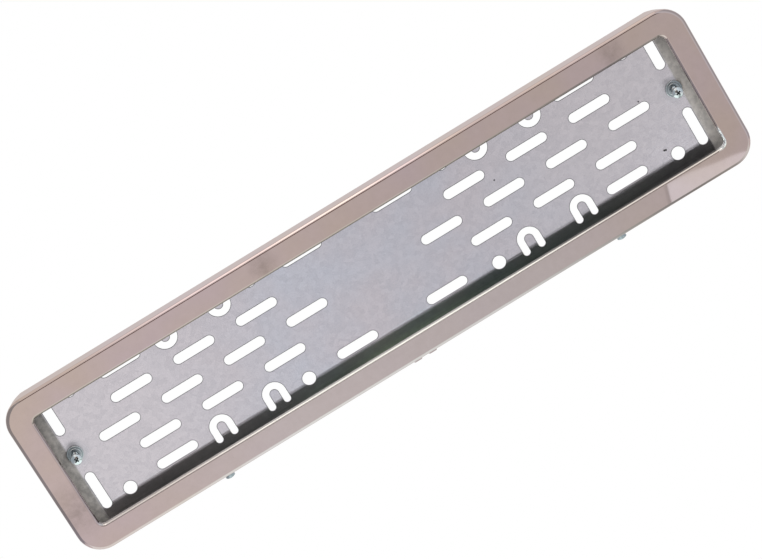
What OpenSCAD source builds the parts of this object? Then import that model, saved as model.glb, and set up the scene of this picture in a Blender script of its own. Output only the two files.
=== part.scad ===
// Number plate holder: a polished stainless bezel over a perforated galvanised base plate.
// X runs along the plate, Z is up and the front faces -Y.
// The origin is the centre of the slot pattern, on the back of the base plate.

/* [Bezel] */
// Length of the bezel, outside
bezel_l = 537; // [500:1:560]
// Height of the bezel, outside
bezel_h = 125; // [119:1:150]
// Depth of the bezel's wall, from its front face to its rear edge
bezel_d = 12; // [8:0.5:14]
// Thickness of the stainless sheet
bezel_t = 0.7; // [0.5:0.1:1]
// Radius of the bezel's corners, outside
corner_r = 18; // [12:1:24]
// Depth of the wall round the corners, where it is trimmed, from the front face
corner_d = 3.2; // [3.1:0.1:8]
// Length along the wall over which its depth falls to that
corner_fall = 10; // [6:1:14]
// Radius of the bend between the face and the wall, outside
edge_r = 2.3; // [1.5:0.1:3]
// Width of the face above and below the window
rail_h = 17.4; // [12:0.1:20]
// Width of the face at each end of the window
rail_l = 18; // [14:0.1:22]
// Radius of the window's corners
window_r = 4; // [2:0.5:8]
// Radius of the lip's bend round the window, outside
lip_r = 2.2; // [1.4:0.1:2.6]
// Depth of the lip, from the front face
lip_d = 3.2; // [2.8:0.1:4]

/* [Base plate] */
// Depth of the whole holder, front face to back face
holder_d = 16; // [15:0.5:20]
// Thickness of the galvanised sheet
base_t = 1; // [0.8:0.1:1.5]
// Radius of the base plate's open corners
base_corner_r = 25; // [12:1:26]
// Radius of the bend at the foot of each flange, outside
base_bend_r = 2; // [1.6:0.1:3]
// Height of the flanges, from the back face
flange_h = 13; // [11:0.5:14]
// Radius of the flanges' front corners
flange_r = 3; // [1:0.5:5]
// Width of the relief notch at each end of a flange
relief_w = 1.5; // [1:0.5:3]
// Clearance between the flanges and the bezel's wall
nest_gap = 0.3; // [0.2:0.1:0.8]
// Height of the slot pattern's centre above the bezel's centre
pattern_rise = 4.2; // [0:0.1:6]

/* [Bumper slots] */
// Width of the straight slots
slot_w = 7.5; // [5:0.5:9]
// Length of the level slots
slot_l = 32; // [20:1:40]
// Length of the upright slots
upright_l = 30; // [20:1:34]
// Height of the upright slots' middles above and below the middle row
upright_z = 31; // [28:0.2:36]
// Distance between slots in one row
slot_pitch = 50; // [46:1:52]
// Distance between rows
row_pitch = 19.4; // [16:0.2:20]
// First slot of the middle row, from the centre
middle_x = 54; // [45:1:58]
// First slot of the rows above and below the middle
next_x = 83; // [74:1:88]
// Inner slot of the top and bottom rows
edge_inner_x = 36; // [25:1:45]
// Outer slot of the top and bottom rows
edge_outer_x = 181; // [178:1:185]

/* [Round holes and hairpin slots] */
// Diameter of the round holes
hole_d = 10; // [6:0.5:12]
// Inner round holes, from the centre
hole_inner_x = 76.5; // [72:0.5:80]
// Outer round holes, from each end of the bezel
hole_inset = 48; // [42:0.5:50]
// Height of the round holes above and below the middle row
hole_z = 41.3; // [38:0.1:44]
// Inner hairpin slots, from the centre
hairpin_inner_x = 102.5; // [100:0.5:106]
// Outer hairpin slots, from the centre
hairpin_outer_x = 145; // [140:0.5:150]
// Width of a hairpin's slot
hairpin_w = 5.5; // [4:0.5:6]
// Radius of a hairpin's crown, at the middle of its slot
hairpin_r = 6; // [5:0.5:7]
// Height of a hairpin's crown centre from the middle row
hairpin_z = 37.9; // [34:0.1:40]
// Length of a hairpin's legs, from the crown's centre to their round ends
hairpin_leg = 10.3; // [8:0.1:12]

/* [End screws] */
// Distance from each end of the bezel to its end screw and upright slots
screw_inset = 28.5; // [24:0.5:32]
// Diameter of the end screws
screw_d = 4; // [3:0.5:5]
// Length of the end screws under the head
screw_l = 16; // [16:1:18]
// Diameter of a pan head
head_d = 7.7; // [6.5:0.1:9]
// Height of a pan head
head_h = 3.1; // [2:0.1:4]
// Height of a pan head's straight side
head_rim = 1.7; // [1:0.1:1.8]
// Diameter of the wide washer
wide_washer_d = 12; // [10:0.5:14]
// Thickness of the wide washer
wide_washer_t = 1; // [0.8:0.1:1.5]
// Diameter of the small washer
small_washer_d = 9; // [8:0.1:9.5]
// Thickness of the small washer
small_washer_t = 0.8; // [0.5:0.1:1.2]
// Width of an end nut across its flats
nut_w = 7; // [6:0.5:8]
// Height of an end nut
nut_h = 3.2; // [2.4:0.1:4]

/* [Clamp screws] */
// Distance from the centre to each clamp screw in the bottom wall
clamp_x = 157.5; // [100:0.5:200]
// Distance of the clamp screws behind the front face
clamp_back = 6.2; // [6:0.1:8]
// Diameter of the clamp screws
clamp_d = 3.5; // [3:0.5:4]
// Length of the clamp screws under the head
clamp_l = 6; // [6:0.5:8]
// Diameter of a clamp screw's head
clamp_head_d = 7; // [6:0.1:8]
// Height of a clamp screw's head
clamp_head_h = 3.6; // [2.6:0.1:4]
// Height of the straight side of a clamp screw's head
clamp_head_rim = 2.4; // [1.4:0.1:2.5]
// Width of a clamp nut across its flats
clamp_nut_w = 6; // [5:0.5:7]
// Height of a clamp nut
clamp_nut_h = 2.8; // [2:0.1:3]

/* [Cross recess] */
// Length of each arm of the cross, tip to tip
recess_l = 4; // [3:0.1:4.5]
// Width of each arm of the cross
recess_w = 1; // [0.6:0.1:1.4]
// Depth of the cross
recess_d = 1.3; // [0.8:0.1:1.6]

/* [Hooks and bottom catch] */
// Distance from the centre to each hook at the top
hook_x = 150; // [80:5:220]
// Width of a hook
hook_w = 16; // [8:1:24]
// How far a hook stands past the inside of the flange
hook_grip = 0.5; // [0.3:0.1:1.5]
// Gap between the two bridges of the bottom catch
catch_gap = 4.7; // [3:0.1:8]
// Length of each bridge of the bottom catch
catch_l = 7; // [5:0.1:9]
// Depth of each bridge along the wall
catch_d = 3; // [2:0.5:5]
// How far each bridge stands out from the wall
catch_h = 0.9; // [0.8:0.1:2]

/* [Hidden] */

$fn = 64;

// Clearance round a screw in a punched hole, on the diameter
punch_gap = 0.5;
// Clearance round a screw in its washer, on the diameter
washer_gap = 0.3;
// Clearance round a thread in its nut, on the diameter
thread_gap = 0.1;
// Clearance round a hook in its slot
hook_gap = 0.5;
// Sheet left between the rows of slots and the wide washers
row_margin = 3;
// How far an end screw passes its nut
tip_past = 0.3;
// How far a cut passes the surface it goes through
past = 1;
// How far each end screw was turned when it was driven, in degrees
left_turn = 35;
right_turn = 20;

window_l = bezel_l - 2 * rail_l;
window_h = bezel_h - 2 * rail_h;

// Heights in the sheet frame are measured forward from the back face
wall_back = holder_d - bezel_d;
base_l = bezel_l - 2 * (bezel_t + nest_gap);
base_h = bezel_h - 2 * (bezel_t + nest_gap);
// A flange is straight along the stretch between the bezel's round corners
flange_end = corner_r + relief_w;
// The trim starts where the flanges end, as measured from the bezel's corner
trim_start = flange_end + bezel_t + nest_gap;
screw_x = bezel_l / 2 - screw_inset;
hole_outer_x = bezel_l / 2 - hole_inset;
// The rows of level slots stop short of the end screws' washers
row_end = screw_x - wide_washer_d / 2 - row_margin;
middle_slots = floor((row_end - slot_l / 2 - middle_x) / slot_pitch);
next_slots = floor((row_end - slot_l / 2 - next_x) / slot_pitch);

// An end screw is driven until its tip just passes the nut
head_seat = screw_l - nut_h - tip_past;
// The clamp screws' height above the back face
clamp_f = holder_d - clamp_back;
flange_inside = base_h / 2 - base_t;

sides = [-1, 1];

// Turns the sheet frame (x along, y up, z forward) into the holder's frame
module upright() {
    rotate([90, 0, 0]) children();
}

// The bezel and the base's outline sit below the slot pattern's centre
module framed() {
    upright() translate([0, -pattern_rise, 0]) children();
}

module rounded_rect(l, h, r) {
    square([l - 2 * r, h], center = true);
    square([l, h - 2 * r], center = true);
    for (sx = sides, sy = sides)
        translate([sx * (l / 2 - r), sy * (h / 2 - r)]) circle(r);
}

// Sweeps a profile round a rounded rectangle.
// The profile's x is measured out from the corner's centre and its y forward.
module swept_round(l, h, r) {
    for (k = [0 : 3]) {
        across = k % 2 == 0 ? l : h;
        along = k % 2 == 0 ? h : l;
        rotate(90 * k) {
            translate([across / 2 - r, along / 2 - r, 0])
                rotate_extrude(angle = 90) children();
            translate([across / 2 - r, along / 2 - r, 0])
                rotate([90, 0, 0]) linear_extrude(along - 2 * r) children();
        }
    }
}

// A quarter of a ring from the +x axis to the +y axis
module quarter_ring(outer, inner) {
    difference() {
        intersection() {
            circle(outer);
            square(outer);
        }
        circle(inner);
    }
}

// Wall and rolled edge of the bezel
module edge_profile() {
    translate([corner_r - bezel_t, wall_back])
        square([bezel_t, bezel_d - edge_r]);
    translate([corner_r - edge_r, holder_d - edge_r])
        quarter_ring(edge_r, edge_r - bezel_t);
}

// Rolled lip round the window: it turns back from the face
module lip_profile() {
    translate([window_r, holder_d - lip_d])
        square([bezel_t, lip_d - lip_r]);
    translate([window_r + lip_r, holder_d - lip_r])
        mirror([1, 0]) quarter_ring(lip_r, lip_r - bezel_t);
}

module bezel_face() {
    translate([0, 0, holder_d - bezel_t]) linear_extrude(bezel_t)
        difference() {
            rounded_rect(bezel_l - 2 * edge_r, bezel_h - 2 * edge_r, corner_r - edge_r);
            rounded_rect(window_l + 2 * lip_r, window_h + 2 * lip_r, window_r + lip_r);
        }
}

// Two lugs bent in at the rear edge of the top wall
module hooks() {
    reach = bezel_t + nest_gap + base_t + hook_grip;
    for (s = sides)
        translate([s * hook_x - hook_w / 2, bezel_h / 2 - reach, wall_back])
            cube([hook_w, reach, bezel_t]);
}

// One bridge of the catch, seen along the wall: a low arch of sheet
module catch_arch() {
    slope = catch_h;
    polygon([[0, bezel_t / 2], [0, 0], [slope, -catch_h], [catch_l - slope, -catch_h],
             [catch_l, 0], [catch_l, bezel_t / 2],
             [catch_l - slope - bezel_t, bezel_t - catch_h], [slope + bezel_t, bezel_t - catch_h]]);
}

module bottom_catch() {
    for (s = sides)
        scale([s, 1, 1])
            translate([catch_gap / 2, -bezel_h / 2, holder_d - edge_r - catch_d])
                linear_extrude(catch_d) catch_arch();
}

// Side view of the trimmed end of a wall: a slope, then a level stretch to past the corner
module trim_profile() {
    rise = bezel_d - corner_d;
    polygon([[0, -past], [0, 0], [corner_fall, rise], [trim_start + past, rise], [trim_start + past, -past]]);
}

// Trims the wall round each corner, where it falls from both sides
module corner_trims() {
    for (mx = [0, 1], my = [0, 1])
        mirror([mx, 0, 0]) mirror([0, my, 0])
            translate([bezel_l / 2 - trim_start, bezel_h / 2 - trim_start, wall_back])
                intersection() {
                    translate([0, trim_start + past, 0])
                        rotate([90, 0, 0]) linear_extrude(trim_start + past) trim_profile();
                    rotate([90, 0, 90]) linear_extrude(trim_start + past) trim_profile();
                }
}

// Holes in the bottom wall and flange for the clamp screws, along y
module clamp_holes(y) {
    for (s = sides)
        translate([s * clamp_x, y - past, clamp_f])
            rotate([-90, 0, 0])
                cylinder(d = clamp_d + punch_gap, h = bezel_t + base_t + nest_gap + 2 * past);
}

module bezel() {
    color([0.72, 0.67, 0.64]) framed()
        difference() {
            union() {
                bezel_face();
                swept_round(bezel_l, bezel_h, corner_r) edge_profile();
                swept_round(window_l, window_h, window_r) lip_profile();
                hooks();
                bottom_catch();
            }
            clamp_holes(-bezel_h / 2);
            corner_trims();
        }
}

// A straight slot with round ends
module slot(l, w) {
    square([l - w, w], center = true);
    for (s = sides)
        translate([s * (l - w) / 2, 0]) circle(d = w);
}

// A hairpin slot with its crown towards the middle row and its legs away from it
module hairpin() {
    difference() {
        circle(hairpin_r + hairpin_w / 2);
        circle(hairpin_r - hairpin_w / 2);
        translate([0, hairpin_r + hairpin_w])
            square([4 * hairpin_r + hairpin_w, 2 * (hairpin_r + hairpin_w)], center = true);
    }
    for (s = sides)
        translate([s * hairpin_r, 0]) {
            translate([-hairpin_w / 2, 0]) square([hairpin_w, hairpin_leg - hairpin_w / 2]);
            translate([0, hairpin_leg - hairpin_w / 2]) circle(d = hairpin_w);
        }
}

// The right upper quarter of the pattern, off the middle row
module quarter_pattern() {
    for (i = [0 : next_slots])
        translate([next_x + i * slot_pitch, row_pitch]) slot(slot_l, slot_w);
    for (x = [edge_inner_x, edge_outer_x])
        translate([x, 2 * row_pitch]) slot(slot_l, slot_w);
    for (x = [hole_inner_x, hole_outer_x])
        translate([x, hole_z]) circle(d = hole_d);
    for (x = [hairpin_inner_x, hairpin_outer_x])
        translate([x, hairpin_z]) hairpin();
    translate([screw_x, upright_z]) rotate(90) slot(upright_l, slot_w);
}

module slot_pattern() {
    for (sx = [0, 1], sy = [0, 1])
        mirror([sx, 0]) mirror([0, sy]) quarter_pattern();
    for (sx = [0, 1])
        mirror([sx, 0]) {
            for (i = [0 : middle_slots])
                translate([middle_x + i * slot_pitch, 0]) slot(slot_l, slot_w);
            translate([screw_x, 0]) circle(d = screw_d + punch_gap);
        }
}

// Flat back of the base, cut away where the flanges bend up
module base_outline() {
    difference() {
        rounded_rect(base_l, base_h, base_corner_r);
        for (s = sides) {
            translate([0, s * (base_h - base_bend_r) / 2])
                square([base_l - 2 * (flange_end - relief_w), base_bend_r], center = true);
            translate([s * (base_l - base_bend_r) / 2, 0])
                square([base_bend_r, base_h - 2 * (flange_end - relief_w)], center = true);
        }
    }
}

// A flange of a given length, its outer side at y = 0 and its foot bend towards -y
module flange(length) {
    rotate([90, 0, 90]) translate([0, 0, -length / 2]) linear_extrude(length)
        translate([-base_bend_r, base_bend_r]) mirror([0, 1])
            quarter_ring(base_bend_r, base_bend_r - base_t);
    translate([0, 0, base_bend_r]) rotate([90, 0, 0]) linear_extrude(base_t) {
        rise = flange_h - base_bend_r;
        translate([-length / 2, 0]) square([length, rise - flange_r]);
        translate([flange_r - length / 2, 0]) square([length - 2 * flange_r, rise]);
        for (s = sides)
            translate([s * (length / 2 - flange_r), rise - flange_r]) circle(flange_r);
    }
}

module flanges() {
    long = base_l - 2 * flange_end;
    short = base_h - 2 * flange_end;
    for (k = [0 : 3])
        rotate(90 * k)
            translate([0, (k % 2 == 0 ? base_h : base_l) / 2, 0])
                flange(k % 2 == 0 ? long : short);
}

// Slots in the top flange that the bezel's hooks enter
module hook_slots() {
    for (s = sides)
        translate([s * hook_x - hook_w / 2 - hook_gap, flange_inside - past, wall_back - hook_gap])
            cube([hook_w + 2 * hook_gap, base_t + 2 * past, bezel_t + 2 * hook_gap]);
}

module base_plate() {
    color([0.72, 0.72, 0.75]) {
        difference() {
            framed() {
                linear_extrude(base_t) base_outline();
                flanges();
            }
            upright() translate([0, 0, -past]) linear_extrude(base_t + 2 * past) slot_pattern();
            framed() {
                hook_slots();
                clamp_holes(-base_h / 2);
            }
        }
    }
}

// A pan head on its underside at z = 0, with a cross recess in its crown
module pan_head(d, h, rim) {
    crown = h - rim;
    dome_r = (pow(d / 2, 2) + pow(crown, 2)) / (2 * crown);
    difference() {
        intersection() {
            cylinder(d = d, h = h);
            translate([0, 0, h - dome_r]) sphere(dome_r);
        }
        for (a = [0, 90])
            rotate(a) translate([-recess_l / 2, -recess_w / 2, h - recess_d])
                cube([recess_l, recess_w, recess_d + past]);
    }
}

// A screw with its head's underside at z = 0 and its shank towards -z
module screw(d, l, cap_d, cap_h, rim) {
    pan_head(cap_d, cap_h, rim);
    translate([0, 0, -l]) cylinder(d = d, h = l);
}

// A hexagon nut standing on z = 0
module nut(w, h, d) {
    difference() {
        cylinder(d = w / cos(30), h = h, $fn = 6);
        translate([0, 0, -past]) cylinder(d = d + thread_gap, h = h + 2 * past);
    }
}

module washer(outer, thick, inner) {
    difference() {
        cylinder(d = outer, h = thick);
        translate([0, 0, -past]) cylinder(d = inner, h = thick + 2 * past);
    }
}

module end_screw(s) {
    color("gainsboro") upright() translate([s * screw_x, 0, head_seat])
        rotate(s > 0 ? right_turn : left_turn)
            screw(screw_d, screw_l, head_d, head_h, head_rim);
}

module wide_washer(s) {
    color("silver") upright() translate([s * screw_x, 0, base_t])
        washer(wide_washer_d, wide_washer_t, screw_d + washer_gap);
}

module small_washer(s) {
    color("darkgray") upright() translate([s * screw_x, 0, base_t + wide_washer_t])
        washer(small_washer_d, small_washer_t, screw_d + washer_gap);
}

module end_nut(s) {
    color("silver") upright() translate([s * screw_x, 0, -nut_h]) nut(nut_w, nut_h, screw_d);
}

module clamp_screw(s) {
    color("gainsboro") framed() translate([s * clamp_x, -bezel_h / 2, clamp_f])
        rotate([90, 0, 0])
            screw(clamp_d, clamp_l, clamp_head_d, clamp_head_h, clamp_head_rim);
}

module clamp_nut(s) {
    color("silver") framed() translate([s * clamp_x, -flange_inside, clamp_f])
        rotate([-90, 0, 0]) nut(clamp_nut_w, clamp_nut_h, clamp_d);
}

bezel();
base_plate();
end_screw(-1);  // end_screw_left
end_screw(1);  // end_screw_right
wide_washer(-1);  // wide_washer_left
wide_washer(1);  // wide_washer_right
small_washer(-1);  // small_washer_left
small_washer(1);  // small_washer_right
end_nut(-1);  // end_nut_left
end_nut(1);  // end_nut_right
clamp_screw(-1);  // clamp_screw_left
clamp_screw(1);  // clamp_screw_right
clamp_nut(-1);  // clamp_nut_left
clamp_nut(1);  // clamp_nut_right
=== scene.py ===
import math

import bmesh
import bpy
from mathutils import Matrix, Vector


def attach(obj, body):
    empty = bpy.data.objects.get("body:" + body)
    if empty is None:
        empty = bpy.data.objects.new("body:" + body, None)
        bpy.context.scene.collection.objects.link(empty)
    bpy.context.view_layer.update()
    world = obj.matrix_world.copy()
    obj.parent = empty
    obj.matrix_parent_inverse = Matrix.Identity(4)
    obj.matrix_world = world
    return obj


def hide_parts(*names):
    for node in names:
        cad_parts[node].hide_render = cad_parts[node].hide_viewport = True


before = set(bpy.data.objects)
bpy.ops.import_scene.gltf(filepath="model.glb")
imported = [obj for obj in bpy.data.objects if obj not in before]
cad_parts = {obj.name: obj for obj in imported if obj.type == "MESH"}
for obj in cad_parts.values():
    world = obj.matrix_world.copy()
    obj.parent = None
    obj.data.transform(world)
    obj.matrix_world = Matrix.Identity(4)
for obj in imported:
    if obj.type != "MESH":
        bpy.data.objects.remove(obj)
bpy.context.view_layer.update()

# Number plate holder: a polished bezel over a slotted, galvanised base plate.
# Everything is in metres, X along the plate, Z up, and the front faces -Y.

bpy.ops.object.select_all(action="DESELECT")
scene = bpy.context.scene
MM = 0.001

# The photograph's width in pixels, and the sensor's in millimetres
IMAGE_W = 762
SENSOR_MM = 36.0

# The camera that was fitted to the slots, the screws and the outline
CAMERA_AT = Vector((13.4, -2623.6, 819.4)) * MM
CAMERA_AZIMUTH = math.radians(0.27)
CAMERA_ELEVATION = math.radians(17.50)
CAMERA_ROLL = math.radians(-31.48)
FOCAL_PX = 4015.7

# The floor and the lamp, in metres
FLOOR_AT = (0.0, -0.35, -0.45)
FLOOR_SIZE = (1.6, 0.95)
LAMP_AT = (-0.1, -0.35, 1.3)
LAMP_SIZE = (1.2, 0.6)
LAMP_TILT = math.radians(-15)
LAMP_WATTS = 2.5

# Places on the part that its materials and details follow
SHEET_FRONT = -1.0 * MM
SCREW_X = 240.0 * MM
HEAD_SEAT = -12.5 * MM
CLAMP_X = 157.5 * MM
CLAMP_Y = -9.8 * MM
CLAMP_SEAT = -66.7 * MM
CLAMP_NUT_FOOT = -64.7 * MM

# The bezel's rails with their lips: the bottom one lies below the first height, the top one above the second
BOTTOM_RAIL = -45.0 * MM
TOP_RAIL = 35.0 * MM

# The fasteners' sizes, where a screw's rim is its head's height at the edge
END_SCREW = dict(d=3.96 * MM, pitch=0.7 * MM, length=16.0 * MM,
                 head_d=7.7 * MM, head_h=3.1 * MM, rim=1.7 * MM)
CLAMP_SCREW = dict(d=3.46 * MM, pitch=0.6 * MM, length=6.0 * MM,
                   head_d=7.0 * MM, head_h=3.6 * MM, rim=2.4 * MM)
WIDE_WASHER = dict(d=12.0 * MM, thick=1.0 * MM, bore=4.3 * MM)
SMALL_WASHER = dict(d=9.0 * MM, thick=0.8 * MM, bore=4.3 * MM)
END_NUT = dict(across=7.0 * MM, h=3.2 * MM, bore=4.1 * MM)
CLAMP_NUT = dict(across=6.0 * MM, h=2.8 * MM, bore=3.6 * MM)

# How far the end screws were turned, in degrees
SCREW_TURNS = {"left": 35.0, "right": 20.0}

# The steps that round a screw head's crown
DOME_STEPS = 9

# The driver's cross in the screw heads, and its foot's share of its length and width
CROSS_L = 5.0 * MM
CROSS_W = 1.25 * MM
CROSS_D = 1.6 * MM
CROSS_TAPER = (0.5, 0.7)

# A thread's ridge, in shares of the pitch, and its crest as a share of its foot
RIDGE_DEPTH = 0.61
RIDGE_FOOT = 0.86
RIDGE_START = 0.75
RIDGE_RUN_OUT = 1.2
RIDGE_CREST = 0.2
STEPS_A_TURN = 24

# A nut's chamfer: its start as a share of the flats, its fall as a share of the corners' overhang,
# its angle, and how much wider than that angle gives it is
CHAMFER_START = 0.95
CHAMFER_FALL = 0.6
CHAMFER_ANGLE = math.radians(30)
CHAMFER_SPARE = 1.02

# A washer's rolled edge, in steps of rise and inset, as shares of the roll
ROLL_STEPS = ((0.62, 0.2), (0.28, 0.6), (0.10, 1.0))

# The beads round the punched holes, and the part of the sheet that has holes
RIM_R = 0.2 * MM
RIMS_X = 249.0 * MM
RIMS_LOW = -57.0 * MM
RIMS_HIGH = 56.0 * MM


def srgb(code):
    """An sRGB hex colour as linear RGBA."""
    channels = [int(code[i:i + 2], 16) / 255.0 for i in (0, 2, 4)]
    linear = [c / 12.92 if c <= 0.04045 else ((c + 0.055) / 1.055) ** 2.4 for c in channels]
    return (*linear, 1.0)


def add(tree, kind, settings=None, links=None):
    """Adds a node, sets its properties and inputs, and links its inputs to other nodes' outputs."""
    node = tree.nodes.new(kind)
    for key, value in (settings or {}).items():
        if isinstance(key, int) or key in node.inputs:
            node.inputs[key].default_value = value
        else:
            setattr(node, key, value)
    for key, source in (links or {}).items():
        tree.links.new(source, node.inputs[key])
    return node


def new_material(name, constants):
    """A material, its node tree and its Principled shader, whose constants are set on its own sockets."""
    material = bpy.data.materials.new(name)
    material.use_nodes = True
    tree = material.node_tree
    shader = tree.nodes["Principled BSDF"]
    for socket, value in constants.items():
        shader.inputs[socket].default_value = value
    return material, tree, shader


# Camera and light

def look_through_camera():
    """The photograph's view, with no shift and no depth of field."""
    data = bpy.data.cameras.new("photo_camera")
    data.sensor_width = SENSOR_MM
    data.lens = FOCAL_PX / IMAGE_W * SENSOR_MM
    data.clip_start = 0.05
    camera = bpy.data.objects.new("photo_camera", data)
    scene.collection.objects.link(camera)
    az, el = CAMERA_AZIMUTH, CAMERA_ELEVATION
    back = Vector((math.sin(az) * math.cos(el), -math.cos(az) * math.cos(el), math.sin(el)))
    right = Vector((0, 0, 1)).cross(back).normalized()
    up = back.cross(right)
    c, s = math.cos(CAMERA_ROLL), math.sin(CAMERA_ROLL)
    axes = Matrix((c * right + s * up, c * up - s * right, back)).transposed().to_4x4()
    camera.matrix_world = Matrix.Translation(CAMERA_AT) @ axes
    scene.camera = camera


def light_the_world():
    """A white studio: camera, mirror and glass rays see pure white, and the rest is a plain level."""
    scene.world = bpy.data.worlds.new("studio")
    scene.world.use_nodes = True
    tree = scene.world.node_tree
    background = tree.nodes["Background"]
    background.inputs["Color"].default_value = (1, 1, 1, 1)
    path = add(tree, "ShaderNodeLightPath")
    mirror = add(tree, "ShaderNodeMath", {"operation": "MAXIMUM"},
                 {0: path.outputs["Is Camera Ray"], 1: path.outputs["Is Glossy Ray"]})
    seen = add(tree, "ShaderNodeMath", {"operation": "MAXIMUM"},
               {0: mirror.outputs[0], 1: path.outputs["Is Transmission Ray"]})
    level = add(tree, "ShaderNodeMapRange", {"To Min": 0.8, "To Max": 1.0}, {"Value": seen.outputs[0]})
    tree.links.new(level.outputs[0], background.inputs["Strength"])


def lay_floor():
    """A matte white paper floor under the part, which metal mirrors as plain white."""
    bpy.ops.mesh.primitive_plane_add(size=1, location=FLOOR_AT)
    floor = bpy.context.object
    floor.name = "paper_floor"
    floor.scale = (*FLOOR_SIZE, 1)
    bpy.ops.object.transform_apply(scale=True)
    material, tree, shader = new_material("white_paper", {"Roughness": 0.9, "Base Color": srgb("F4F4F2")})
    place = add(tree, "ShaderNodeTexCoord")
    fibres = add(tree, "ShaderNodeTexNoise", {"Scale": 900.0, "Detail": 3.0},
                 {"Vector": place.outputs["Object"]})
    relief = add(tree, "ShaderNodeBump", {"Strength": 0.1, "Distance": 0.1 * MM},
                 {"Height": fibres.outputs["Fac"]})
    tree.links.new(relief.outputs["Normal"], shader.inputs["Normal"])
    path = add(tree, "ShaderNodeLightPath")
    mirror = add(tree, "ShaderNodeMath", {"operation": "MAXIMUM"},
                 {0: path.outputs["Is Glossy Ray"], 1: path.outputs["Is Transmission Ray"]})
    white = add(tree, "ShaderNodeEmission")
    seen = add(tree, "ShaderNodeMixShader",
               links={0: mirror.outputs[0], 1: shader.outputs[0], 2: white.outputs[0]})
    tree.links.new(seen.outputs[0], tree.nodes["Material Output"].inputs["Surface"])
    floor.data.materials.append(material)


def hang_lamp():
    """One large soft lamp overhead, slightly to the front."""
    data = bpy.data.lights.new("overhead_lamp", "AREA")
    data.shape = "RECTANGLE"
    data.size, data.size_y = LAMP_SIZE
    data.energy = LAMP_WATTS
    lamp = bpy.data.objects.new("overhead_lamp", data)
    lamp.location = LAMP_AT
    lamp.rotation_euler = (LAMP_TILT, 0, 0)
    lamp.visible_glossy = False
    scene.collection.objects.link(lamp)


def studio_card(name, corners, colour, levels):
    """A card that only the metal mirrors: four corners, and a glow that changes along the first side."""
    bpy.ops.mesh.primitive_plane_add(size=1, location=(0, 0, 0))
    card = bpy.context.object
    card.name = name
    order = (corners[0], corners[1], corners[3], corners[2])
    for vertex, corner in zip(card.data.vertices, order):
        vertex.co = Vector(corner)
    material = bpy.data.materials.new(name)
    material.use_nodes = True
    tree = material.node_tree
    tree.nodes.clear()
    across = add(tree, "ShaderNodeTexCoord")
    along = add(tree, "ShaderNodeSeparateXYZ", links={"Vector": across.outputs["UV"]})
    ramp = add(tree, "ShaderNodeValToRGB", links={"Fac": along.outputs["X"]})
    elements = ramp.color_ramp.elements
    while len(elements) < len(levels):
        elements.new(0.5)
    for k, level in enumerate(levels):
        elements[k].position = k / (len(levels) - 1)
        elements[k].color = (level, level, level, 1)
    tint = add(tree, "ShaderNodeMix",
               {"data_type": "RGBA", "blend_type": "MULTIPLY", 0: 1.0, 7: srgb(colour)},
               {6: ramp.outputs["Color"]})
    glow = add(tree, "ShaderNodeEmission", {"Strength": 1.0}, {"Color": tint.outputs[2]})
    add(tree, "ShaderNodeOutputMaterial", links={"Surface": glow.outputs[0]})
    card.data.materials.append(material)
    card.visible_camera = False
    card.visible_diffuse = False
    card.visible_transmission = False
    card.visible_shadow = False


def hang_cards():
    """Cards in metres that give the polished bezel its tones and its light and dark lines."""
    # The flat faces mirror this one: light on the left, dimmer from the middle on
    studio_card("table_card",
                [(-0.55, -1.2, -0.70), (0.55, -1.2, -0.70), (0.55, -1.2, 0.07), (-0.55, -1.2, 0.07)],
                "FFFFFF", (1.1, 1.04, 1.0, 0.95, 0.87, 0.85, 0.84, 0.9))
    # A window's light on the lower right corner, and its dark frame along their slanted side
    foot, tip = (0.272, -1.19, -0.52), (0.2925, -1.19, -0.438)
    studio_card("corner_card", [foot, (0.55, -1.19, -0.52), (0.55, -1.19, -0.512), tip],
                "F4FAFF", (1.34, 1.38, 1.38))
    studio_card("frame_card", [(0.265, -1.19, -0.52), foot, tip, (0.2875, -1.19, -0.438)],
                "FFFFFF", (0.78, 0.62))
    # A dark line beside the top face, and a bright one above it
    studio_card("front_flag",
                [(-1.0, -1.5, 0.08), (1.0, -1.5, 0.08), (1.0, -1.5, 0.77), (-1.0, -1.5, 0.77)],
                "8C7468", (0.8, 0.8, 0.7, 0.8, 0.8, 0.6, 0.6, 0.7))
    studio_card("overhead_card",
                [(-0.68, -1.0, 1.5), (0.68, -1.0, 1.5), (0.68, 0.6, 1.5), (-0.68, 0.6, 1.5)],
                "FFFDF8", (0.9, 1.0, 1.12, 2.0, 2.7, 1.3, 1.4, 1.35, 1.3))
    # The bottom edge is light on the left and thinly dark on the right
    studio_card("under_card",
                [(-0.58, -0.85, -0.44), (0.58, -0.85, -0.44), (0.58, 0.1, -0.44), (-0.58, 0.1, -0.44)],
                "EFFBF9", (1.6, 1.6, 1.6, 1.6, 1.4, 0.45, 1.3, 1.3))
    # The ends' rolls show thin lines from these two
    studio_card("left_card", [(-0.45, -1.4, -0.6), (-1.4, 0.9, -0.6), (-1.4, 0.9, 1.2), (-0.45, -1.4, 1.2)],
                "CCD3DA", (0.85, 0.78, 0.78, 0.8, 0.7))
    studio_card("right_card", [(0.55, -1.3, -0.6), (1.4, 0.9, -0.6), (1.4, 0.9, 1.2), (0.55, -1.3, 1.2)],
                "CCD3DA", (1.6, 1.5, 0.95, 1.15, 0.8))


# Materials

def marks_at(tree, position, spots):
    """Soft spots on the part, from centres and reaches in mm: 1 in the middle, 0 beyond the reach."""
    marks = None
    for centre, reach in spots:
        away = add(tree, "ShaderNodeVectorMath", {"operation": "DISTANCE", 1: Vector(centre) * MM},
                   {0: position})
        spot = add(tree, "ShaderNodeMapRange",
                   {"From Min": 0.0, "From Max": reach * MM, "To Min": 1.0, "To Max": 0.0},
                   {"Value": away.outputs["Value"]}).outputs[0]
        marks = spot if marks is None else add(
            tree, "ShaderNodeMath", {"operation": "MAXIMUM"}, {0: marks, 1: spot}).outputs[0]
    return marks


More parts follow.
